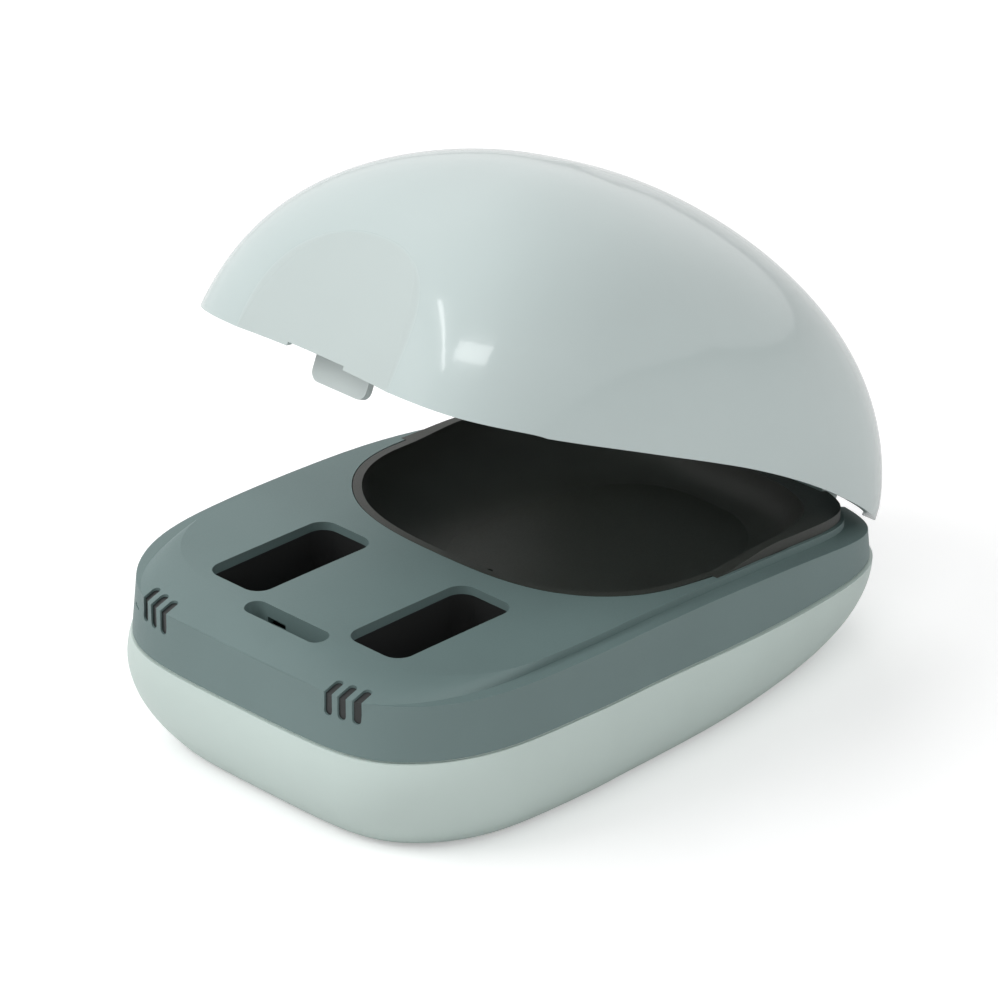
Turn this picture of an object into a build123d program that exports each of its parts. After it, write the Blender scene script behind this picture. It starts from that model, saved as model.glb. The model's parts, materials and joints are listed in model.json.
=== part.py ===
"""Hearing aid dryer: a rounded charging and drying box with a domed lid on a rear hinge.

Millimetres, +Z up. X runs across the box, the front faces -Y, and the origin is the middle
of the footprint on the table. The lid is drawn closed and then swung to its rest angle, and
all pieces move by rest_middle_y at the end, so that the origin is midway along the whole.
"""
from build123d import *
from math import asin, cos, radians, sin, sqrt
import os

# ---------------------------------------------------------------- driving dimensions
half_width = 42.0
front_length = 47.2          # from the widest station to the front end
rear_length = 77.6           # from the widest station to the rear end
widest_y = -15.2
front_powers = (4.2, 3.3)    # how square the plan is across X and along Y
rear_powers = (4.6, 2.2)
stations = 5                 # outline points in each quarter

foot_height = 0.9
seam_height = 19.5           # where the grey band meets the white shell, at its highest
base_bulge = 7.2
base_tuck = 13.5
base_tuck_power = 1.9
band_draft = 0.08            # how far the band leans in for each millimetre of height
shell_wall = 2.0
floor_thickness = 2.2

# A crown is a side view line: (y of its top, height there, front radius, y of the break, rear radius).
seam_crown = (-30.5, seam_height + 0.15, 753.0, 70.0, 753.0)
edge_crown = (-30.5, seam_height + 9.55, 762.0, 0.0, 225.0)
deck_crown = (-50.0, seam_height + 11.1, 1450.0, 0.0, 215.0)

deck_side_inset = 3.7        # the raised deck inside the shoulder that the lid closes over
deck_front_inset = 0.85
deck_rear_inset = 3.5
deck_front_powers = (5.4, 3.3)
apron_length = 12.0          # the deck's front slopes down to the band's edge over this length
apron_drop = 2.15
apron_blend = 0.035          # how far the apron would rise past the deck's crown
seam_groove = 0.4            # a fine dark line runs between the band and the white shell
seam_rebate = 0.35

well_x = 16.3
well_y = -35.8
well_width = 13.7
well_length = 27.8
well_corner = 3.6
well_rim_round = 0.5
well_grey_wall = 1.7         # how deep the deck shows inside the well before the dark cup starts
well_bottom = 17.4
well_floor = 1.2             # the cup's floor, with the coil and its ferrite under it
coil_size = (12.4, 22.0)
coil_core = (6.0, 15.6)
coil_thickness = 1.0
ferrite_size = (13.6, 24.0)
ferrite_thickness = 0.8
cup_wall = 0.9
cup_flange = 1.0
cup_clearance = 0.06

slot_y = -52.1
slot_length = 18.1
slot_width = 4.0
slot_depth = 8.0
slot_wall = 1.0
window_width = 4.2
window_height = 1.6

slit_x = 22.0                # middle slit of each group of three
slit_pitch = 2.7
slit_width = 1.6
slit_bottom = 24.5
slit_reach = 3.5             # how far each slit runs back over the front edge
round_end = 0.49             # corner of a round-ended slot as a share of its width
guide_recess = 0.35
guide_clearance = 0.05
guide_reach = 0.5            # how far the guides stand inside the wall
guide_bar_half_width = 4.2
guide_bar_front = -60.0
guide_bar_low = 0.2          # the bar's lower and upper edges above the slits' foot
guide_bar_high = 1.7
guide_led_gap = 0.3
corner_slit_depth = 1.2
side_slit_length = 2.4
side_slit_width = 0.5
corner_slit_place = (-28.9, -59.1, 25.2)
corner_slit_turn = -30.0

bowl_middle_y = 14.0
bowl_half_width = 36.0
bowl_front = 31.9
bowl_rear = 39.8
bowl_front_powers = (2.7, 2.8)
bowl_rear_powers = (3.0, 2.2)
bowl_top = 30.5
bowl_floor = 17.0
bowl_wall = 1.4
bowl_rear_share = 0.45       # the rear wall is steeper than the front
bowl_clearance = 0.05
lip_height = 1.9             # the bowl's rear lip rises softly above the deck and covers it
lip_start_y = 8.0
lip_full_y = 26.0
lip_inset = 0.6
lip_seat = 0.02
vent_count = 5
vent_y = -2.0
vent_width = 1.6
vent_length = 9.0
vent_pitch = 4.0
heater_y = 16.5
heater_size = (30.0, 25.0)
heater_thickness = 0.8

hinge_y = 58.5
hinge_z = 16.0
hinge_x = 12.0
knuckle_width = 7.6
knuckle_radius = 2.6
pin_radius = 1.25
pin_clearance = 0.05
hinge_side_gap = 0.4
cheek_width = 2.2
bay_clearance = 0.7

lid_half_width = 40.1
lid_front_length = 49.4
lid_rear_length = 75.9
lid_middle_y = -11.7         # the crown's own station
lid_front_powers = (6.7, 2.3)
lid_rear_powers = (4.6, 2.2)
crown_front_powers = (2.3, 2.0)  # the plan grows rounder toward the crown
crown_rear_powers = (2.3, 2.0)
lid_start_z = 21.6           # the sides stand upright up to here
lid_top_z = 66.6
side_fullness = (3.68, 1.8)  # how full the dome is across, toward the front and the rear
front_fullness = (2.36, 1.96)
rear_fullness = (1.68, 2.12)
lid_wall = 1.8
lid_gap = 0.25               # between the closed rim and the deck
lid_rim_gap = 0.15           # between the closed rim and the band's edge
rear_rim_y = 57.0            # behind this the rim is higher, clear of the band as the lid swings
rear_rim_z = 19.6
lid_open = 23.2              # how far the lid stands open at rest
inner_gap = 0.02             # between the lid and what is fixed inside it
plate_half_width = 17.5
plate_bottom = 22.0
plate_top = 30.0
plate_thickness = 2.0
rest_middle_y = 2.3          # midway from the front to the rear of the lid at rest
notch_width = 12.8
notch_height = 1.0
scoop_half_width = 17.5
scoop_bottom_z = 28.6
scoop_height = 21.5
scoop_depth = 0.9
scoop_powers = (3.0, 0.9)    # how square the scoop's arch is

tab_width = 12.4
tab_thickness = 1.3
tab_length = 6.4             # how far the tab hangs below the closed rim
tab_y = slot_y
tab_corner = 1.8
tab_front_y = -62.0          # the tab's root runs forward to the lid's front wall
tab_root_bottom = 2.2        # the root's lower and upper faces above the closed rim
tab_root_top = 5.0
magnet_radius = 1.9
magnet_depth = 0.7
magnet_rise = 2.6            # from the tab's tip to the magnet's middle

button_y = -24.0
button_z = 23.8
button_length = 13.0
button_height = 4.2
button_clearance = 0.3
button_proud = 0.6
button_flange = 1.0
button_travel = 0.8
button_flange_out = (0.8, 1.4)
button_stem_radius = 1.2
plunger_radius = 1.25
plunger_reach = 1.9          # the plunger stands this far out of the switch
plunger_seat = 0.8           # and this far in it
plunger_clearance = 0.1
switch_depth = 7.5           # from the band's surface to the switch's face
switch_size = (3.0, 6.0, 5.2)
side_board_thickness = 1.2

board_bottom = 6.0
board_thickness = 1.6
foot_radius = 4.6
foot_sink = 0.5
foot_chamfer = 0.4
foot_fit = 0.05
foot_front = (24.0, -44.0)
foot_rear = (22.0, 44.0)
screw_front = (32.5, -33.0)
screw_rear = (19.0, 33.0)
screw_radius = 1.25
screw_head_radius = 2.4
boss_radius = 3.0
screw_fit = 0.03
screw_head_height = 1.5
screw_front_top = 22.0       # where the front and rear housing screws end
screw_rear_top = 14.5
screw_tip_room = 0.2
boss_front_top = 16.0        # where the shell's bosses end and those above start
boss_rear_top = 10.0
boss_gap = 0.05
boss_root = 0.5              # how deep a boss grows out of the floor
board_post_radius = 2.6
board_screw_radius = 1.0
board_screw_tip = 3.6
bracket_screw_y = 53.0
bracket_screw_radius = 1.1
bracket_screw_tip = 5.0
small_head_radius = 1.9
small_head_height = 1.2

board_half_width = 32.0
board_front = -57.0
board_rear = 36.0
board_corner = 6.0
board_side_gap = 1.0
board_tongue = 5.0           # half the tongue's width
board_screw_places = ((22.0, -49.0), (24.0, 10.0))
led_board_y = -56.4
led_board_half_width = 25.6
led_board_thickness = 1.0
led_half_width = 0.8
led_front = 0.9              # the LEDs' faces in front of their board's middle
board_tongue_rear = 58.2     # the tongue carries the power socket
pedestal_top = 9.5
pedestal_front = 50.5
pedestal_rear = 57.5
bracket_base_top = 11.6
cheek_front = 54.0
socket_front = 52.4
socket_rear = 59.9
socket_size = (9.0, 3.3)
socket_mouth = (8.3, 2.6)
socket_fit = 0.3             # the mouth in the shell around the socket
socket_opening_corner = 1.9


# ---------------------------------------------------------------- outlines and crowns
def reach(angle, power_x, power_y):
    """How far the curve |x|^power_x + |y|^power_y = 1 lies from its middle in one direction."""
    low, high = 0.5, 1.5
    for _ in range(40):
        middle = (low + high) / 2
        total = (middle * cos(angle)) ** power_x + (middle * sin(angle)) ** power_y
        low, high = (middle, high) if total < 1 else (low, middle)
    return low


def outline(width, front, rear, middle_y, powers_front, powers_rear):
    """Closed egg-like outline as points, counted once around from the right side."""
    points = []
    for quarter in range(4):
        powers, length = (powers_rear, rear) if quarter < 2 else (powers_front, front)
        for step in range(stations):
            angle = radians(90) * step / stations
            if quarter % 2:
                angle = radians(90) - angle
            distance = reach(angle, *powers)
            x = width * distance * cos(angle) * (1 if quarter in (0, 3) else -1)
            y = length * distance * sin(angle) * (1 if quarter < 2 else -1)
            points.append((x, middle_y + y))
    return points


def way_shares():
    """How far around the body's plan each outline point lies, shared by every outline."""
    points = outline(half_width, front_length, rear_length, widest_y, front_powers, rear_powers)
    shares = [0.0]
    for here, there in zip(points, points[1:] + points[:1]):
        shares.append(shares[-1] + sqrt((there[0] - here[0]) ** 2 + (there[1] - here[1]) ** 2))
    return [share / shares[-1] for share in shares]


def ring(points, height):
    """Flat face inside a smooth closed curve through the points, at a height."""
    places = [Vector(x, y, height) for x, y in points]
    curve = Edge.make_spline(places, periodic=True, parameters=way_shares())
    return Face(Wire(curve))


def body_ring(height, side, front=None, rear=None):
    """The body's plan, drawn in by an inset at the sides, the front and the rear."""
    front = side if front is None else front
    rear = side if rear is None else rear
    points = outline(half_width - side, front_length - front, rear_length - rear, widest_y,
                     front_powers, rear_powers)
    return ring(points, height)


def base_inset(height):
    """The white shell swells below the seam and tucks in toward the table."""
    depth = (seam_height - height) / seam_height
    if depth < 0:
        return -base_bulge * depth
    return base_tuck * depth ** base_tuck_power - base_bulge * depth


def crown_height(crown, y):
    top_y, top_z, front_radius, break_y, rear_radius = crown
    if y <= break_y:
        return top_z - front_radius + sqrt(front_radius ** 2 - (y - top_y) ** 2)
    turn = asin((break_y - top_y) / front_radius)
    middle_y = break_y - rear_radius * sin(turn)
    middle_z = crown_height(crown, break_y) - rear_radius * cos(turn)
    return middle_z + sqrt(rear_radius ** 2 - (y - middle_y) ** 2)


def under(crown, shift=0.0, half=60.0):
    """Everything below a crown line, moved up or down by a shift."""
    start, end, bottom = -75.0, 75.0, -20.0
    turn = min(crown[3], 60.0)

    def at(y):
        return (y, crown_height(crown, y) + shift)

    edges = [
        ThreePointArc(at(start), at((start + turn) / 2), at(turn)),
        ThreePointArc(at(turn), at((turn + end) / 2), at(end)),
        Line(at(end), (end, bottom)),
        Line((end, bottom), (start, bottom)),
        Line((start, bottom), at(start)),
    ]
    return extrude(Plane.YZ * make_face(edges), amount=half, both=True)


def block(x0, x1, y0, y1, z0, z1):
    return Pos((x0 + x1) / 2, (y0 + y1) / 2, (z0 + z1) / 2) * Box(x1 - x0, y1 - y0, z1 - z0)


def rod(x, y, z0, z1, radius):
    return Pos(x, y, (z0 + z1) / 2) * Cylinder(radius, z1 - z0)


def rod_x(x0, x1, y, z, radius):
    return Pos((x0 + x1) / 2, y, z) * Rot(Y=90) * Cylinder(radius, x1 - x0)


def rounded_prism(x, y, width, length, corner, z0, z1):
    face = Pos(x, y, z0) * RectangleRounded(width, length, corner)
    return extrude(face, amount=z1 - z0)


def one(shape):
    """The largest solid of a result that may hold slivers."""
    return max(shape.solids(), key=lambda solid: solid.volume)


# ---------------------------------------------------------------- outer forms
def base_form(extra, bottom):
    """The white shell's outside, or its inside when drawn in by a wall."""
    heights = (bottom, 3.5, 7.0, 11.0, 15.0, seam_height, seam_height + 1.5)
    return loft([body_ring(z, base_inset(z) + extra) for z in heights])


def band_form(extra, crown_drop):
    """The grey band, leaning in as it rises, cut off along its top edge."""
    low, high = 10.0, 34.0
    rings = [body_ring(z, band_draft * (z - seam_height) + extra) for z in (low, high)]
    return loft(rings, ruled=True) & under(edge_crown, -crown_drop)


def deck_ring(height, front, extra):
    """The raised deck's plan, drawn back at the front by one inset and all around by another."""
    points = outline(half_width - deck_side_inset - extra, front_length - deck_front_inset - front - extra,
                     rear_length - deck_rear_inset - extra, widest_y, deck_front_powers, rear_powers)
    return ring(points, height)


def deck_form(extra):
    """The raised deck, its front sloping down in an apron to the band's edge."""
    top = deck_crown[1] + apron_blend
    drop = apron_drop + apron_blend
    steps = 4
    rings = [deck_ring(10.0, 0.0, extra)]
    for step in range(steps + 1):
        share = step / steps
        rings.append(deck_ring(top - drop * (1 - share) ** 2 - extra, apron_length * share, extra))
    body = loft(rings[:2], ruled=True) + loft(rings[1:])
    return body & under(deck_crown, -extra)


def apron_height(y):
    """The deck's height in the middle of its front."""
    share = (y - widest_y + front_length - deck_front_inset) / apron_length
    if share >= 1:
        return crown_height(deck_crown, y)
    return min(deck_crown[1] + apron_blend - (apron_drop + apron_blend) * (1 - share) ** 2,
               crown_height(deck_crown, y))


def lip_rise(y):
    """How far the bowl's rear lip stands above the deck."""
    share = min(max((y - lip_start_y) / (lip_full_y - lip_start_y), 0.0), 1.0)
    return lip_height * share * share * (3 - 2 * share)


def under_lip():
    """Everything below the line of the deck with the bowl's raised rear lip on it."""
    steps = 21
    line_y = [-30.0 + 5.0 * step for step in range(steps)]
    top = [(y, crown_height(deck_crown, y) + lip_rise(y)) for y in line_y]
    corners = [(line_y[-1], 0.0), (line_y[0], 0.0)]
    edges = [Spline(*top), Line(top[-1], corners[0]), Line(*corners), Line(corners[1], top[0])]
    return extrude(Plane.YZ * make_face(edges), amount=60, both=True)


def tray_form(extra):
    return band_form(extra, extra) + deck_form(extra)


def slit_places():
    """X of the six slits, and the Y where each one ends on the deck."""
    for side in (-1, 1):
        for step in (-1, 0, 1):
            x = side * slit_x + step * slit_pitch
            share = abs(x) / half_width
            front = front_length * (1 - share ** front_powers[0]) ** (1 / front_powers[1])
            yield side, x, widest_y - front + slit_reach


def slit_cutter(x, end_y, width):
    """A slit seen from the front and from above, both with a round end."""
    tall = 45.0
    deep = 30.0
    front_view = Plane.XZ * Pos(x, slit_bottom + tall / 2) * RectangleRounded(width, tall, width * round_end)
    top_view = Pos(x, end_y - deep / 2, 0) * RectangleRounded(width, deep, width * round_end)
    return extrude(front_view, amount=90, both=True) & extrude(top_view, amount=60)


# ---------------------------------------------------------------- lower shell
def make_lower_shell():
    inside = base_form(shell_wall, foot_height + floor_thickness)
    shell = (base_form(0, foot_height) & under(seam_crown)) - inside
    rebate = base_form(-1.0, foot_height) - under(seam_crown, -seam_groove)
    shell -= rebate - band_form(seam_rebate, 0)
    for side in (-1, 1):
        x, y = side * screw_front[0], screw_front[1]
        shell += rod(x, y, foot_height + boss_root, boss_front_top, boss_radius)
        x, y = side * screw_rear[0], screw_rear[1]
        shell += rod(x, y, foot_height + boss_root, boss_rear_top, boss_radius)
    for x, y in board_posts():
        shell += rod(x, y, foot_height + boss_root, board_bottom, board_post_radius)
    for side in (-1, 1):
        middle = side * hinge_x
        shell += block(middle - cheek_reach(), middle + cheek_reach(), pedestal_front, pedestal_rear,
                       foot_height + boss_root, pedestal_top)
        shell -= rod(middle, bracket_screw_y, 4.0, 20, bracket_screw_radius + screw_fit)
    for x, y in board_posts():
        shell -= rod(x, y, 3.4, 20, board_screw_radius + screw_fit)
    for x, y, top in screw_places():
        shell -= rod(x, y, -1, 40, screw_radius + screw_fit)
        shell -= rod(x, y, -1, foot_height + 1.6, screw_head_radius + 0.2)
    for x, y in foot_places():
        shell -= rod(x, y, -1, foot_height + foot_sink, foot_radius + foot_fit)
    for side in (-1, 1):
        shell -= hinge_bay(side)
    mouth = Plane.XZ * Pos(0, socket_middle()) * RectangleRounded(
        socket_size[0] + 2 * socket_fit, socket_size[1] + 2 * socket_fit, socket_opening_corner)
    shell -= Pos(0, 70, 0) * extrude(mouth, amount=14)
    return one(shell)


def board_posts():
    return [(side * x, y) for side in (-1, 1) for x, y in board_screw_places]


def screw_places():
    """X, Y and the height where each housing screw ends."""
    for side in (-1, 1):
        yield side * screw_front[0], screw_front[1], screw_front_top
        yield side * screw_rear[0], screw_rear[1], screw_rear_top


def foot_places():
    return [(side * x, y) for side in (-1, 1) for x, y in (foot_front, foot_rear)]


def socket_middle():
    return board_bottom + board_thickness + socket_size[1] / 2


def cheek_reach():
    return knuckle_width / 2 + hinge_side_gap + cheek_width


def hinge_bay(side):
    """Room at the rear for one hinge: the lid's knuckle and the cheeks beside it."""
    half = cheek_reach() + 0.3
    middle = side * hinge_x
    front = hinge_y - knuckle_radius - bay_clearance
    bottom = hinge_z - knuckle_radius - bay_clearance
    return block(middle - half, middle + half, front, 75, bottom, 40)


# ---------------------------------------------------------------- tray cover
def make_tray_cover():
    cavity = band_form(shell_wall, shell_wall)
    tray = (tray_form(0) - under(seam_crown)) - cavity
    # walls of the latch slot
    tray += rounded_prism(0, slot_y, slot_length + 2 * slot_wall, slot_width + 2 * slot_wall,
                          slot_width / 2 + slot_wall - 0.05, slot_bottom() - slot_wall,
                          slot_bottom() + slot_depth - 1.0)
    # posts that take the front screws
    for side in (-1, 1):
        x, y = side * screw_front[0], screw_front[1]
        tray += rod(x, y, boss_front_top + boss_gap, 27.6, boss_radius)
        tray -= rod(x, y, 10, screw_front_top + screw_tip_room, screw_radius + screw_fit)
    # bowl opening
    tray -= extrude(ring(bowl_outline(-bowl_clearance), 12.0), amount=30)
    for side in (-1, 1):
        for cutter in well_cutters(side):
            tray -= cutter
        tray -= hinge_bay(side)
    tray -= rounded_prism(0, slot_y, slot_length, slot_width, slot_width / 2 - 0.05, slot_bottom(), 40)
    window_x = -slot_length / 4
    tray -= block(window_x - window_width / 2, window_x + window_width / 2, slot_y,
                  slot_y + slot_width / 2 + slot_wall + 0.5,
                  slot_top() - 2.4 - window_height, slot_top() - 2.4)
    for side, x, end_y in slit_places():
        tray -= slit_cutter(x, end_y, slit_width)
    tray -= button_opening()
    tray -= corner_slit()
    return one(tray)


def slot_top():
    return crown_height(deck_crown, slot_y)


def slot_bottom():
    return slot_top() - slot_depth


def well_mouth():
    """Width, length and corner of the well inside its rounded rim."""
    return (well_width - 2 * well_rim_round, well_length - 2 * well_rim_round, well_corner - well_rim_round)


def well_cutters(side):
    """A rounded opening through the deck, wider below where the dark cup stands."""
    top = crown_height(deck_crown, well_y)
    x = side * well_x
    width, length, corner = well_mouth()
    shaft = rounded_prism(x, well_y, width, length, corner, 10, 40)
    rings = []
    for step in range(5):
        turn = radians(22.5 * step)
        out = well_rim_round * (1 - cos(turn))
        up = well_rim_round * sin(turn)
        rings.append(Pos(x, well_y, top - well_rim_round + up) * RectangleRounded(
            width + 2 * out, length + 2 * out, corner + out))
    rim = loft(rings)
    around = 2 * (cup_wall + cup_clearance)
    seat = rounded_prism(x, well_y, width + around, length + around, corner + around / 2,
                         10, top - well_grey_wall)
    return shaft, rim, seat


def button_opening():
    face = RectangleRounded(button_length, button_height, button_height * round_end)
    face = Plane.YZ * Pos(button_y, button_z) * face
    return Pos(-50, 0, 0) * extrude(face, amount=20)


def corner_slit():
    """A short shallow slit in the band at the front left corner."""
    place = Pos(*corner_slit_place) * Rot(Z=corner_slit_turn)
    return place * Box(side_slit_length, corner_slit_depth, side_slit_width)


def bowl_outline(inset, rear_inset=None):
    rear_inset = inset if rear_inset is None else rear_inset
    return outline(bowl_half_width - inset, bowl_front - inset, bowl_rear - rear_inset, bowl_middle_y,
                   bowl_front_powers, bowl_rear_powers)


# ---------------------------------------------------------------- drying bowl
def bowl_form(inset, floor, top):
    """A soft bowl: steep under the rim, then swept in to a flat floor."""
    depth = bowl_top - floor
    rings = []
    for share, tuck in ((0.0, 13.0), (0.06, 9.0), (0.2, 5.4), (0.42, 2.6), (0.7, 0.9), (1.0, 0.0)):
        points = bowl_outline(inset + tuck, inset + bowl_rear_share * tuck)
        rings.append(ring(points, floor + share * depth))
    body = loft(rings)
    return body + extrude(rings[-1], amount=top - bowl_top)


def make_drying_bowl():
    outside = bowl_form(0, bowl_floor - bowl_wall, 36.0)
    inside = bowl_form(bowl_wall, bowl_floor, 40.0)
    cover = extrude(deck_ring(10.0, 0.0, lip_inset), amount=40) & block(-60, 60, lip_start_y + 1.5, 80, 0, 60)
    bowl = (outside & under_lip()) + (cover & under_lip() - under(deck_crown, lip_seat)) - inside
    for side in (-1, 1):
        x, y = side * screw_rear[0], screw_rear[1]
        bowl += rod(x, y, boss_rear_top + boss_gap, bowl_floor - 0.2, boss_radius)
        bowl -= rod(x, y, 9, screw_rear_top + screw_tip_room, screw_radius + screw_fit)
        bowl -= hinge_bay(side)
    for step in range(vent_count):
        x = (step - (vent_count - 1) / 2) * vent_pitch
        bowl -= rounded_prism(x, vent_y, vent_width, vent_length, vent_width * round_end,
                              10, bowl_floor + 1.5)
    return one(bowl)


# ---------------------------------------------------------------- wells, coils and light guides
def make_well_cup(side):
    top = crown_height(deck_crown, well_y) - well_grey_wall - 0.05
    bottom = well_bottom - well_floor
    width, length, corner = well_mouth()
    x = side * well_x
    neck = rounded_prism(x, well_y, width + 2 * cup_wall, length + 2 * cup_wall, corner + cup_wall,
                         bottom, top)
    around = 2 * (cup_wall + cup_flange)
    flange = rounded_prism(x, well_y, width + around, length + around, corner + around / 2, bottom, 28.0)
    cup = neck + (flange & under(edge_crown, -shell_wall - 0.03))
    return one(cup - rounded_prism(x, well_y, width, length, corner, well_bottom, 40))


def make_coil(side):
    """A flat oval winding under the well's floor."""
    x = side * well_x
    top = well_bottom - well_floor
    coil = rounded_prism(x, well_y, *coil_size, 6.1, top - coil_thickness, top)
    return coil - rounded_prism(x, well_y, *coil_core, 2.9, top - 2, top + 1)


def make_ferrite(side):
    top = well_bottom - well_floor - coil_thickness
    return rounded_prism(side * well_x, well_y, *ferrite_size, 2.0, top - ferrite_thickness, top)


def make_light_guide(side):
    """Three dark fingers that fill one group of slits, joined by a bar inside."""
    skin = tray_form(guide_recess) - band_form(shell_wall + guide_reach, shell_wall + guide_reach)
    guide = None
    for group, x, end_y in slit_places():
        if group != side:
            continue
        finger = slit_cutter(x, end_y - guide_clearance, slit_width - 2 * guide_clearance) & skin
        guide = finger if guide is None else guide + finger
    middle = side * slit_x
    bar = block(middle - guide_bar_half_width, middle + guide_bar_half_width, guide_bar_front,
                led_board_y - led_front - guide_led_gap,
                slit_bottom + guide_bar_low, slit_bottom + guide_bar_high)
    room = band_form(shell_wall + 0.05, shell_wall + 0.05)
    return one(guide + (bar & room))


# ---------------------------------------------------------------- lid
def fullness(rise, powers):
    """How much of the rim's width or length is left at a share of the dome's height."""
    return (1 - rise ** powers[0]) ** (1 / powers[1])


def between(low, high, share):
    return tuple(a + (b - a) * share for a, b in zip(low, high))


def lid_ring(rise, extra):
    """The dome's plan at a share of its height."""
    points = outline((lid_half_width - extra) * fullness(rise, side_fullness),
                     (lid_front_length - extra) * fullness(rise, front_fullness),
                     (lid_rear_length - extra) * fullness(rise, rear_fullness), lid_middle_y,
                     between(lid_front_powers, crown_front_powers, rise),
                     between(lid_rear_powers, crown_rear_powers, rise))
    return ring(points, lid_start_z + (lid_top_z - extra - lid_start_z) * rise)


def lid_form(extra):
    """The closed dome: its rim plan shrinks and rounds toward the crown as it rises."""
    steps = 9
    rings = [lid_ring(sin(radians(88) * step / steps), extra) for step in range(steps + 1)]
    foot = extrude(rings[0], amount=-10)
    return loft(rings) + foot


def lid_front_y(height):
    """Y of the dome's front, in the middle, at a height."""
    rise = (height - lid_start_z) / (lid_top_z - lid_start_z)
    return lid_middle_y - lid_front_length * fullness(rise, front_fullness)


def scoop_cutter():
    """A soft hollow in the dome's front, its edges running out to nothing in an arch."""
    radius = scoop_half_width ** 2 / (2 * scoop_depth)
    reach_x = 1.7 * scoop_half_width
    faces = []
    for share in (-0.4, 0.0, 0.25, 0.5, 0.7, 0.85, 1.0, 1.15):
        height = scoop_bottom_z + scoop_height * share
        fall = abs(share) ** scoop_powers[0]
        depth = scoop_depth * (1 - fall) ** scoop_powers[1] if fall < 1 else -scoop_depth * (fall - 1)
        if share < 0:
            depth = scoop_depth
        back = lid_front_y(max(height, lid_start_z)) + depth
        wing = back - reach_x ** 2 / (2 * radius)
        corners = [(-reach_x, wing, height), (reach_x, wing, height),
                   (reach_x, -90.0, height), (-reach_x, -90.0, height)]
        edges = [ThreePointArc(corners[0], (0, back, height), corners[1]), Line(*corners[1:3]),
                 Line(*corners[2:4]), Line(corners[3], corners[0])]
        faces.append(make_face(edges))
    return loft(faces)


def make_lid_shell():
    shell = lid_form(0) - lid_form(lid_wall)
    shell -= under(edge_crown, lid_rim_gap)
    shell -= deck_form(-lid_gap)
    shell -= block(-60, 60, rear_rim_y, 80, 0, rear_rim_z)
    notch_top = apron_height(lid_front_y(scoop_bottom_z)) + lid_gap + notch_height
    shell -= block(-notch_width / 2, notch_width / 2, -70, -48, 20, notch_top)
    return one(shell - scoop_cutter())


def make_latch_tab():
    top = crown_height(deck_crown, tab_y) + lid_gap
    half = tab_width / 2
    blade = block(-half, half, tab_y - tab_thickness / 2, tab_y + tab_thickness / 2,
                  top - tab_length, top + tab_root_top)
    tip = blade.edges().filter_by(Axis.Y).group_by(Axis.Z)[0]
    blade = fillet(tip, tab_corner)
    root = block(-half, half, tab_front_y, tab_y, top + tab_root_bottom, top + tab_root_top)
    root &= lid_form(lid_wall + inner_gap)
    return one(blade + root - make_lid_magnet(screw_fit))


def swing(shape):
    """Turn a lid piece from closed to its rest angle about the hinge."""
    return Pos(0, hinge_y, hinge_z) * Rot(X=-lid_open) * Pos(0, -hinge_y, -hinge_z) * shape


def arm_profile():
    """Side view of an arm, drawn from the hinge: it leaves the knuckle and leans to the lid's rear wall."""
    return Plane.YZ * make_face(Polyline((-1.9, 0.0), (-1.1, 7.5), (1.0, 11.5), (5.5, 11.5),
                                         (5.5, 3.8), (2.4, 1.2), (2.1, -0.4), (-1.9, 0.0)))


def make_hinge_plate():
    """A plate against the lid's rear wall with two arms that end in knuckles."""
    room = lid_form(lid_wall + inner_gap)
    plate = block(-plate_half_width, plate_half_width, 40, 70, plate_bottom, plate_top) & room
    plate -= lid_form(lid_wall + plate_thickness)
    for side in (-1, 1):
        x0 = side * hinge_x - knuckle_width / 2
        x1 = side * hinge_x + knuckle_width / 2
        arm = Pos(x0, hinge_y, hinge_z) * extrude(arm_profile(), amount=knuckle_width)
        plate += arm & room
        plate += rod_x(x0, x1, hinge_y, hinge_z, knuckle_radius)
    for side in (-1, 1):
        plate -= rod_x(side * hinge_x - 10, side * hinge_x + 10, hinge_y, hinge_z, pin_radius + pin_clearance)
    return one(plate)


# ---------------------------------------------------------------- hinge hardware on the base
def make_hinge_bracket(side):
    middle = side * hinge_x
    inner = knuckle_width / 2 + hinge_side_gap
    outer = cheek_reach()
    bracket = block(middle - outer, middle + outer, pedestal_front, pedestal_rear,
                    pedestal_top, bracket_base_top)
    for sign in (-1, 1):
        near, far = sorted((middle + sign * inner, middle + sign * outer))
        cheek = rod_x(near, far, hinge_y, hinge_z, knuckle_radius)
        cheek += block(near, far, cheek_front, pedestal_rear, pedestal_top, hinge_z)
        cheek += block(near, far, cheek_front, hinge_y + 1.4, hinge_z - knuckle_radius, hinge_z)
        bracket += cheek
    bracket -= rod_x(middle - 12, middle + 12, hinge_y, hinge_z, pin_radius)
    bracket -= rod(middle, bracket_screw_y, 5, 20, bracket_screw_radius + screw_fit)
    return one(bracket)


def make_hinge_pin(side):
    return rod_x(side * hinge_x - cheek_reach(), side * hinge_x + cheek_reach(), hinge_y, hinge_z, pin_radius)


# ---------------------------------------------------------------- electronics
def make_main_board():
    board = rounded_prism(0, (board_front + board_rear) / 2, 2 * board_half_width, board_rear - board_front,
                          board_corner, board_bottom, board_bottom + board_thickness)
    inset = base_inset(board_bottom) + shell_wall + board_side_gap
    board &= extrude(body_ring(board_bottom, inset), amount=board_thickness)
    board += block(-board_tongue, board_tongue, board_rear - 2, board_tongue_rear,
                   board_bottom, board_bottom + board_thickness)
    for side in (-1, 1):
        for x, y in (screw_front, screw_rear):
            board -= rod(side * x, y, 0, 20, boss_radius + 0.4)
    for x, y in board_posts():
        board -= rod(x, y, 0, 20, board_screw_radius + screw_fit)
    return one(board)


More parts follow.
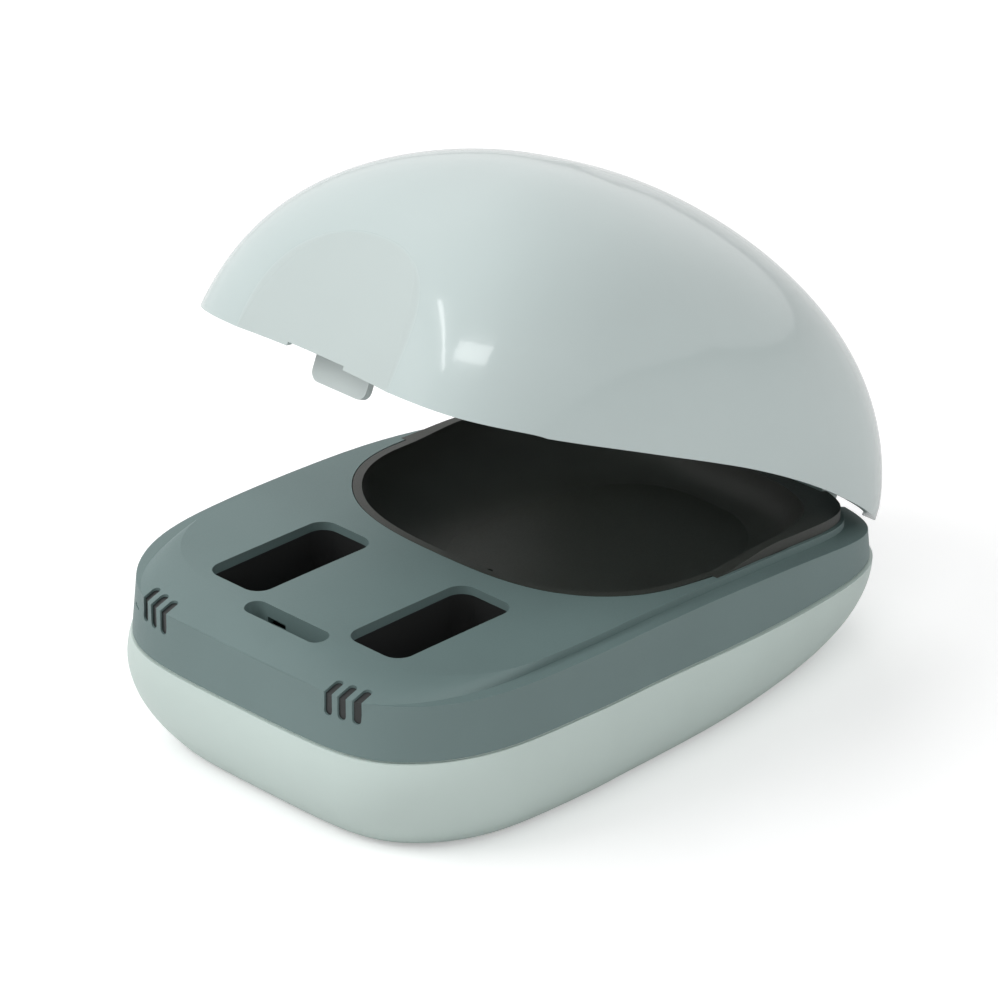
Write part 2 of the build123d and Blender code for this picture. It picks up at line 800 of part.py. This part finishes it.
def make_led_board():
    top = board_bottom + board_thickness
    half = led_board_thickness / 2
    return block(-led_board_half_width, led_board_half_width, led_board_y - half, led_board_y + half,
                 top, slit_bottom + 1.5)


def make_status_leds():
    leds = []
    for _, x, _ in slit_places():
        leds.append(block(x - led_half_width, x + led_half_width, led_board_y - led_front,
                          led_board_y - led_board_thickness / 2, slit_bottom + 0.2, slit_bottom + 1.4))
    return Compound(leds)


def make_heater_pad():
    top = bowl_floor - bowl_wall
    return rounded_prism(0, heater_y, *heater_size, 3, top - heater_thickness, top)


def make_power_socket():
    """The metal shell of a small socket with its tongue."""
    middle = socket_middle()
    shell = Plane.XZ * Pos(0, middle) * RectangleRounded(*socket_size, 1.6)
    mouth = Plane.XZ * Pos(0, middle) * RectangleRounded(*socket_mouth, 1.25)
    length = socket_rear - socket_front
    body = Pos(0, socket_rear, 0) * extrude(shell, amount=length)
    body -= Pos(0, socket_rear + 1, 0) * extrude(mouth, amount=length)
    return one(body + block(-3.3, 3.3, socket_front + 0.5, socket_rear - 1.0, middle - 0.35, middle + 0.35))


def make_lid_sensor():
    top = slot_bottom() - slot_wall
    return block(-2.0, 2.0, slot_y - 1.5, slot_y + 1.5, top - 1.2, top)


# ---------------------------------------------------------------- start button
def stadium_x(length, height, x0, x1):
    """A bar with round ends on the left side, from x0 to x1."""
    face = Plane.YZ * Pos(button_y, button_z) * RectangleRounded(length, height, height * round_end)
    return Pos(x0, 0, 0) * extrude(face, amount=x1 - x0)


def button_outer_x():
    """X of the band's surface at the button."""
    share = (widest_y - button_y) / front_length
    width = half_width * (1 - share ** front_powers[1]) ** (1 / front_powers[0])
    return -(width - band_draft * (button_z - seam_height))


def make_start_button():
    outer = button_outer_x()
    inner = outer + shell_wall + 0.35
    cap = stadium_x(button_length - 2 * button_clearance, button_height - 2 * button_clearance,
                    outer - button_proud, inner + 0.5)
    cap = fillet(cap.faces().sort_by(Axis.X)[0].edges(), 0.5)
    flange = stadium_x(button_length + button_flange_out[0], button_height + button_flange_out[1],
                       inner, inner + button_flange)
    stem = rod_x(inner, switch_face() - plunger_reach, button_y, button_z, button_stem_radius)
    return one(cap + flange + stem)


def switch_face():
    return button_outer_x() + switch_depth


def make_switch_plunger():
    face = switch_face()
    return rod_x(face - plunger_reach, face + plunger_seat, button_y, button_z, plunger_radius)


def make_tact_switch():
    face = switch_face()
    depth, length, height = switch_size
    body = Pos(face + depth / 2, button_y, button_z) * Box(depth, length, height)
    bore_end = face + plunger_seat + button_travel + 0.2
    return body - rod_x(face - 1, bore_end, button_y, button_z, plunger_radius + plunger_clearance)


def make_side_board():
    face = switch_face() + switch_size[0]
    return block(face, face + side_board_thickness, button_y - 4.5, button_y + 5.0,
                 board_bottom + board_thickness, button_z + 2.4)


# ---------------------------------------------------------------- feet, screws and magnet
def make_feet():
    feet = []
    for x, y in foot_places():
        foot = rod(x, y, 0, foot_height + foot_sink, foot_radius)
        feet.append(chamfer(foot.edges().group_by(Axis.Z)[0], foot_chamfer))
    return Compound(feet)


def screw(x, y, head_bottom, head_height, head_radius, tip, radius):
    """A pan head screw standing along Z, with its head at one end and its tip at the other."""
    head = rod(x, y, head_bottom, head_bottom + head_height, head_radius)
    low, high = sorted((tip, head_bottom + head_height / 2))
    drive = head_bottom if tip > head_bottom else head_bottom + head_height
    cross = Pos(x, y, drive) * (Box(head_radius, 0.5, 1.0) + Box(0.5, head_radius, 1.0))
    return one(head + rod(x, y, low, high, radius) - cross)


def make_housing_screws():
    return Compound([screw(x, y, foot_height + 0.1, screw_head_height, screw_head_radius, top, screw_radius)
                     for x, y, top in screw_places()])


def make_board_screws():
    top = board_bottom + board_thickness
    return Compound([screw(x, y, top, small_head_height, small_head_radius,
                           board_screw_tip, board_screw_radius)
                     for x, y in board_posts()])


def make_bracket_screws():
    return Compound([screw(side * hinge_x, bracket_screw_y, bracket_base_top, small_head_height,
                           small_head_radius, bracket_screw_tip, bracket_screw_radius) for side in (-1, 1)])


def magnet_place():
    return crown_height(deck_crown, tab_y) + lid_gap - tab_length + magnet_rise


def make_lid_magnet(fit=0.0):
    """The disc in the tab's rear face, or its pocket with a fit around it."""
    depth = magnet_depth + fit
    rear = tab_y + tab_thickness / 2
    return Pos(0, rear - depth / 2, magnet_place()) * Rot(X=90) * Cylinder(magnet_radius + fit, depth)


static_makers = {
    "lower_shell": make_lower_shell,
    "tray_cover": make_tray_cover,
    "drying_bowl": make_drying_bowl,
    "main_board": make_main_board,
    "led_board": make_led_board,
    "status_leds": make_status_leds,
    "heater_pad": make_heater_pad,
    "power_socket": make_power_socket,
    "lid_sensor": make_lid_sensor,
    "start_button": make_start_button,
    "switch_plunger": make_switch_plunger,
    "tact_switch": make_tact_switch,
    "side_board": make_side_board,
    "rubber_feet": make_feet,
    "housing_screws": make_housing_screws,
    "board_screws": make_board_screws,
    "bracket_screws": make_bracket_screws,
}
paired_makers = {
    "well_cup": make_well_cup,
    "charging_coil": make_coil,
    "coil_ferrite": make_ferrite,
    "light_guide": make_light_guide,
    "hinge_bracket": make_hinge_bracket,
    "hinge_pin": make_hinge_pin,
}
lid_makers = {
    "lid_shell": make_lid_shell,
    "latch_tab": make_latch_tab,
    "lid_magnet": make_lid_magnet,
    "lid_hinge_plate": make_hinge_plate,
}

nodes = {name: maker() for name, maker in static_makers.items()}
for name, maker in paired_makers.items():
    nodes["left_" + name] = maker(-1)
    nodes["right_" + name] = maker(1)
for name, maker in lid_makers.items():
    nodes[name] = swing(maker())

os.makedirs("parts", exist_ok=True)
for name, shape in nodes.items():
    export_step(Pos(0, -rest_middle_y, 0) * shape, f"parts/{name}.step")
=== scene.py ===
"""Looks of the hearing aid dryer: its plastics and metals, the table, the studio light and the camera."""

import bpy
import json
from math import cos, pi, radians, sin
from mathutils import Matrix, Vector

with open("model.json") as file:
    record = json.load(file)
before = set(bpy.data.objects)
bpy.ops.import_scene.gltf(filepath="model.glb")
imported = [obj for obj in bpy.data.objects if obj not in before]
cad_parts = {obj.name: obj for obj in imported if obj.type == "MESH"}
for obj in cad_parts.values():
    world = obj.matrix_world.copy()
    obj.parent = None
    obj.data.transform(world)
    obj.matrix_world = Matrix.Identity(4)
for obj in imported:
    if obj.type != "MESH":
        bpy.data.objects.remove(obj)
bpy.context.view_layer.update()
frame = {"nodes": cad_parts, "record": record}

# ---------------------------------------------------------------- camera
camera_place = (0.6104, -0.6191, 0.4689)
camera_turn = (63.38, 0.0, 44.88)   # degrees
camera_lens = 211.3                 # millimetres, on a sensor 36 wide
camera_sensor = 36.0
camera_reach = 20.0

# ---------------------------------------------------------------- colours, linear
white_plastic = (0.556, 0.652, 0.617)
white_gloss = (0.525, 0.612, 0.604)
# the lid's white, darker inside the front scoop as painted shade of its shallow recess
scoop_white_painted_shade = (0.512, 0.584, 0.573)
inner_white = (0.520, 0.590, 0.575)
grey_soft = (0.142, 0.205, 0.202)
grey_cap = (0.145, 0.202, 0.198)
# the bowl insert's own dark colour; on the bowl's rear reach and raised rear lip, under the lid, the same
# black is painted shadow of the lid
bowl_black_and_painted_shadow = (0.0300, 0.0315, 0.0268)
cup_black = (0.018, 0.019, 0.019)
window_black = (0.016, 0.018, 0.018)
tab_grey = (0.560, 0.620, 0.610)
board_green = (0.020, 0.110, 0.045)
copper = (0.560, 0.220, 0.080)
steel = (0.560, 0.560, 0.550)
nickel = (0.640, 0.620, 0.590)
foot_black = (0.030, 0.030, 0.030)
silicone_orange = (0.500, 0.150, 0.040)
led_cream = (0.720, 0.680, 0.520)
table_white = (0.860, 0.860, 0.860)

# ---------------------------------------------------------------- the lid's scoop, in metres and degrees
hinge_y = 0.0562
hinge_z = 0.0160
lid_open = 23.2              # how far the lid stands open at rest
scoop_half_width = 0.0175
scoop_bottom = 0.0286        # height of its foot when the lid is closed
scoop_height = 0.0215
scoop_powers = (3.0, 0.9)    # how square the arch is
scoop_edge = 12.0            # how sharply the finish and the painted shade change at the arch

# ---------------------------------------------------------------- materials
millimetre = 0.001
noise_low = 0.3              # most of a noise texture's values lie between these two
noise_high = 0.7


def new_material(name):
    """A material with its own nodes; gives its tree, its shader and the object's coordinates."""
    made = bpy.data.materials.new(name)
    made.use_nodes = True
    tree = made.node_tree
    shader = tree.nodes["Principled BSDF"]
    place = tree.nodes.new("ShaderNodeTexCoord").outputs["Object"]
    return made, tree, shader, place


def noise(tree, place, size, detail=2.0, stretch=None):
    """Noise whose spots are about size metres across."""
    if stretch:
        mapping = tree.nodes.new("ShaderNodeMapping")
        mapping.inputs["Scale"].default_value = stretch
        tree.links.new(place, mapping.inputs["Vector"])
        place = mapping.outputs["Vector"]
    texture = tree.nodes.new("ShaderNodeTexNoise")
    texture.inputs["Scale"].default_value = 1.0 / size
    texture.inputs["Detail"].default_value = detail
    tree.links.new(place, texture.inputs["Vector"])
    return texture.outputs["Fac"]


def spread(tree, value, low, high):
    """A noise value stretched over a range."""
    node = tree.nodes.new("ShaderNodeMapRange")
    node.inputs["From Min"].default_value = noise_low
    node.inputs["From Max"].default_value = noise_high
    node.inputs["To Min"].default_value = low
    node.inputs["To Max"].default_value = high
    tree.links.new(value, node.inputs["Value"])
    return node.outputs["Result"]


def drift(tree, value, colour, share):
    """The colour, a little darker and lighter from place to place."""
    ramp = tree.nodes.new("ShaderNodeValToRGB")
    dark, light = ramp.color_ramp.elements
    dark.position = noise_low
    light.position = noise_high
    dark.color = [channel * (1 - share) for channel in colour] + [1.0]
    light.color = [channel * (1 + share) for channel in colour] + [1.0]
    tree.links.new(value, ramp.inputs["Fac"])
    return ramp.outputs["Color"]


def bump(tree, shader, value, depth):
    """Grain of a depth in metres, raised by a value from 0 to 1."""
    node = tree.nodes.new("ShaderNodeBump")
    node.inputs["Distance"].default_value = depth
    node.inputs["Strength"].default_value = 1.0
    tree.links.new(value, node.inputs["Height"])
    tree.links.new(node.outputs["Normal"], shader.inputs["Normal"])


def plastic(name, colour, roughness, grain, depth, tone=0.02):
    """Moulded plastic: fine grain, faint drift in tone and sheen."""
    made, tree, shader, place = new_material(name)
    broad = noise(tree, place, 18 * millimetre)
    fine = noise(tree, place, grain, detail=3.0)
    tree.links.new(drift(tree, broad, colour, tone), shader.inputs["Base Color"])
    tree.links.new(spread(tree, fine, roughness * 0.92, roughness * 1.08), shader.inputs["Roughness"])
    bump(tree, shader, fine, depth)
    return made


def worked(tree, operation, first, second=None):
    """One step of arithmetic on node values or plain numbers."""
    node = tree.nodes.new("ShaderNodeMath")
    node.operation = operation
    for socket, value in zip(node.inputs, (first, second)):
        if isinstance(value, (int, float)):
            socket.default_value = value
        elif value is not None:
            tree.links.new(value, socket)
    return node.outputs["Value"]


def scoop_mask(tree, place):
    """One inside the arch of the lid's front scoop, nothing outside it."""
    lean = radians(lid_open)
    height = tree.nodes.new("ShaderNodeVectorMath")
    height.operation = "DOT_PRODUCT"
    height.inputs[1].default_value = (0.0, sin(lean), cos(lean))
    tree.links.new(place, height.inputs[0])
    split = tree.nodes.new("ShaderNodeSeparateXYZ")
    tree.links.new(place, split.inputs["Vector"])
    foot = scoop_bottom + hinge_y * sin(lean) + hinge_z * cos(lean) - hinge_z
    above = worked(tree, "SUBTRACT", height.outputs["Value"], foot)
    share = worked(tree, "MAXIMUM", worked(tree, "DIVIDE", above, scoop_height), 0.0)
    rise = worked(tree, "POWER", share, scoop_powers[0])
    left = worked(tree, "MAXIMUM", worked(tree, "SUBTRACT", 1.0, rise), 0.0)
    room = worked(tree, "POWER", left, scoop_powers[1])
    side = worked(tree, "DIVIDE", split.outputs["X"], scoop_half_width)
    across = worked(tree, "MULTIPLY", side, side)
    inside = worked(tree, "MULTIPLY", worked(tree, "SUBTRACT", room, across), scoop_edge)
    clipped = worked(tree, "MINIMUM", worked(tree, "MAXIMUM", inside, 0.0), 1.0)
    front = worked(tree, "LESS_THAN", split.outputs["Y"], 0.0)
    return worked(tree, "MULTIPLY", clipped, front)


def mixed(tree, share, first, second):
    """The first colour where share is 0, the second where it is 1."""
    node = tree.nodes.new("ShaderNodeMix")
    node.data_type = "RGBA"
    tree.links.new(share, node.inputs["Factor"])
    colours = [socket for socket in node.inputs if socket.type == "RGBA"]
    tree.links.new(first, colours[0])
    tree.links.new(second, colours[1])
    return [socket for socket in node.outputs if socket.type == "RGBA"][0]


def lid_plastic(name, colour, scoop_colour_painted_shade, gloss_roughness, matte_roughness):
    """Glossy moulded plastic, satin inside the front scoop; there its colour is darker, painted shade of
    the recess.
    """
    made, tree, shader, place = new_material(name)
    broad = noise(tree, place, 22 * millimetre)
    fine = noise(tree, place, 0.5 * millimetre, detail=3.0)
    mask = scoop_mask(tree, place)
    glossy_tone = drift(tree, broad, colour, 0.010)
    scoop_tone_painted_shade = drift(tree, broad, scoop_colour_painted_shade, 0.015)
    # inside the scoop the darker colour is painted shade of the recess
    tree.links.new(mixed(tree, mask, glossy_tone, scoop_tone_painted_shade), shader.inputs["Base Color"])
    gloss = spread(tree, fine, gloss_roughness * 0.94, gloss_roughness * 1.06)
    extra = worked(tree, "MULTIPLY", mask, matte_roughness - gloss_roughness)
    tree.links.new(worked(tree, "ADD", gloss, extra), shader.inputs["Roughness"])
    coarse = worked(tree, "ADD", worked(tree, "MULTIPLY", mask, 0.9), 0.1)
    bump(tree, shader, worked(tree, "MULTIPLY", fine, coarse), 0.005 * millimetre)
    shader.inputs["Coat Weight"].default_value = 0.6
    shader.inputs["Coat Roughness"].default_value = 0.06
    return made


def metal(name, colour, roughness, stretch):
    """Drawn or turned metal with fine lines along one direction."""
    made, tree, shader, place = new_material(name)
    lines = noise(tree, place, 0.4 * millimetre, detail=4.0, stretch=stretch)
    tree.links.new(drift(tree, lines, colour, 0.06), shader.inputs["Base Color"])
    tree.links.new(spread(tree, lines, roughness * 0.8, roughness * 1.2), shader.inputs["Roughness"])
    bump(tree, shader, lines, 0.01 * millimetre)
    shader.inputs["Metallic"].default_value = 1.0
    return made


def winding(name, colour):
    """Enamelled wire wound in fine turns."""
    made, tree, shader, place = new_material(name)
    turns = noise(tree, place, 0.5 * millimetre, detail=1.0)
    tree.links.new(drift(tree, turns, colour, 0.2), shader.inputs["Base Color"])
    bump(tree, shader, turns, 0.1 * millimetre)
    shader.inputs["Metallic"].default_value = 0.8
    shader.inputs["Roughness"].default_value = 0.3
    return made


looks = {
    "white_shell": plastic("white_shell", white_plastic, 0.42, 0.35 * millimetre, 0.006 * millimetre),
    "white_lid": lid_plastic("white_lid", white_gloss, scoop_white_painted_shade, 0.22, 0.45),
    "grey_tray": plastic("grey_tray", grey_soft, 0.50, 0.28 * millimetre, 0.010 * millimetre, 0.03),
    "grey_button": plastic("grey_button", grey_cap, 0.42, 0.3 * millimetre, 0.006 * millimetre, 0.03),
    # the bowl's black: its own colour at the front, painted shadow of the lid at the rear
    "dark_bowl": plastic("dark_bowl", bowl_black_and_painted_shadow, 0.48, 0.3 * millimetre, 0.010 * millimetre, 0.10),
    "dark_cup": plastic("dark_cup", cup_black, 0.50, 0.3 * millimetre, 0.008 * millimetre, 0.15),
    "dark_window": plastic("dark_window", window_black, 0.30, 0.5 * millimetre, 0.002 * millimetre, 0.10),
    "tab_plastic": plastic("tab_plastic", tab_grey, 0.40, 0.3 * millimetre, 0.005 * millimetre),
    "plate_plastic": plastic("plate_plastic", inner_white, 0.45, 0.3 * millimetre, 0.006 * millimetre),
    "chip_black": plastic("chip_black", window_black, 0.55, 0.2 * millimetre, 0.010 * millimetre, 0.1),
    "foot_rubber": plastic("foot_rubber", foot_black, 0.75, 0.3 * millimetre, 0.020 * millimetre, 0.1),
    "heater": plastic("heater", silicone_orange, 0.60, 0.8 * millimetre, 0.020 * millimetre, 0.06),
    "led_body": plastic("led_body", led_cream, 0.20, 0.5 * millimetre, 0.004 * millimetre, 0.05),
    "ferrite": plastic("ferrite", bowl_black_and_painted_shadow, 0.70, 0.2 * millimetre, 0.020 * millimetre, 0.15),
    "board": plastic("board", board_green, 0.35, 1.2 * millimetre, 0.010 * millimetre, 0.15),
    "coil_copper": winding("coil_copper", copper),
    "socket_metal": metal("socket_metal", steel, 0.30, (1.0, 0.05, 1.0)),
    "screw_steel": metal("screw_steel", steel, 0.35, (1.0, 1.0, 0.2)),
    "bracket_steel": metal("bracket_steel", steel, 0.35, (0.1, 1.0, 1.0)),
    "pin_steel": metal("pin_steel", steel, 0.25, (0.1, 1.0, 1.0)),
    "magnet": metal("magnet", nickel, 0.20, (1.0, 1.0, 1.0)),
}
for part in frame["record"]["subparts"]:
    frame["nodes"][part["node"]].data.materials[0] = looks[part["material_slot"]]

# ---------------------------------------------------------------- table
table_half = 3.0
table_lift = 0.32            # what the camera sees of the table's own white, besides the light on it
white = (1.0, 1.0, 1.0, 1.0)


def table_look():
    """Pale satin board that stays white to the camera where no shadow falls."""
    made = plastic("table_surface", table_white, 0.6, 2 * millimetre, 0.002 * millimetre, 0.004)
    tree = made.node_tree
    seen = tree.nodes.new("ShaderNodeLightPath").outputs["Is Camera Ray"]
    lift = tree.nodes.new("ShaderNodeEmission")
    lift.inputs["Color"].default_value = white
    tree.links.new(worked(tree, "MULTIPLY", seen, table_lift), lift.inputs["Strength"])
    both = tree.nodes.new("ShaderNodeAddShader")
    tree.links.new(tree.nodes["Principled BSDF"].outputs["BSDF"], both.inputs[0])
    tree.links.new(lift.outputs["Emission"], both.inputs[1])
    tree.links.new(both.outputs["Shader"], tree.nodes["Material Output"].inputs["Surface"])
    return made


corners = [(-table_half, -table_half, 0), (table_half, -table_half, 0),
           (table_half, table_half, 0), (-table_half, table_half, 0)]
table_mesh = bpy.data.meshes.new("table")
table_mesh.from_pydata(corners, [], [(0, 1, 2, 3)])
table_mesh.materials.append(table_look())
table = bpy.data.objects.new("table", table_mesh)
bpy.context.scene.collection.objects.link(table)

# ---------------------------------------------------------------- light
middle = Vector((0.0, 0.0, 0.03))            # what the broad lamps face
lid_front = Vector((0.025, -0.040, 0.082))   # where the reflections show
ambient_level = 0.36
backdrop_level = 1.0


def lamp(name, width, height, power, turn, place):
    """A rectangular lamp; turn holds its three axes, and it shines along minus the third."""
    made = bpy.data.lights.new(name, "AREA")
    made.shape = "RECTANGLE"
    made.size = width
    made.size_y = height
    made.energy = power
    held = bpy.data.objects.new(name, made)
    held.matrix_world = Matrix.Translation(place) @ turn.to_4x4()
    bpy.context.scene.collection.objects.link(held)
    return held


def softbox(name, place, power, width=0.9, height=0.7):
    """A broad lamp that lights the object and leaves no bright patch on it."""
    turn = (Vector(place) - middle).to_track_quat("Z", "Y").to_matrix()
    held = lamp(name, width, height, power, turn, place)
    held.visible_glossy = False


def reflection(name, start, end, width, radiance):
    """A bar that shows only as a reflection in glossy surfaces."""
    start, end = Vector(start), Vector(end)
    place = (start + end) / 2
    along = (end - start).normalized()
    back = (place - lid_front).normalized()
    across = back.cross(along).normalized()
    turn = Matrix((along, across, along.cross(across))).transposed()
    length = (end - start).length
    held = lamp(name, length, width, radiance * pi * length * width, turn, place)
    held.visible_diffuse = False


softbox("left_softbox", (-0.55, -0.95, 0.95), 10.0)
softbox("rear_softbox", (-1.0, 0.5, 0.9), 5.7)
softbox("right_softbox", (0.95, 0.1, 0.7), 2.0, 0.8, 0.6)
softbox("top_softbox", (0.5, -0.6, 1.3), 3.8)
reflection("strip_reflection", (-0.417, -0.241, 0.965), (0.025, -0.672, 0.857), 0.04, 7.0)
reflection("window_reflection", (0.051, -0.510, 0.960), (0.600, -0.240, 0.860), 0.18, 4.0)

world = bpy.data.worlds.new("studio")
bpy.context.scene.world = world
world.use_nodes = True
tree = world.node_tree
ambient = tree.nodes["Background"]
backdrop = tree.nodes.new("ShaderNodeBackground")
for light, level in ((ambient, ambient_level), (backdrop, backdrop_level)):
    light.inputs["Color"].default_value = white
    light.inputs["Strength"].default_value = level
path = tree.nodes.new("ShaderNodeLightPath")
seen = worked(tree, "MAXIMUM", path.outputs["Is Camera Ray"], path.outputs["Is Glossy Ray"])
seen = worked(tree, "MAXIMUM", seen, path.outputs["Is Transmission Ray"])
choice = tree.nodes.new("ShaderNodeMixShader")
tree.links.new(seen, choice.inputs["Fac"])
tree.links.new(ambient.outputs["Background"], choice.inputs[1])
tree.links.new(backdrop.outputs["Background"], choice.inputs[2])
tree.links.new(choice.outputs["Shader"], tree.nodes["World Output"].inputs["Surface"])

# ---------------------------------------------------------------- camera and picture
camera = bpy.data.cameras.new("camera")
camera.lens = camera_lens
camera.sensor_width = camera_sensor
camera.clip_end = camera_reach
camera_held = bpy.data.objects.new("camera", camera)
camera_held.location = camera_place
camera_held.rotation_euler = [radians(angle) for angle in camera_turn]
bpy.context.scene.collection.objects.link(camera_held)
bpy.context.scene.camera = camera_held
bpy.context.scene.view_settings.view_transform = "Standard"
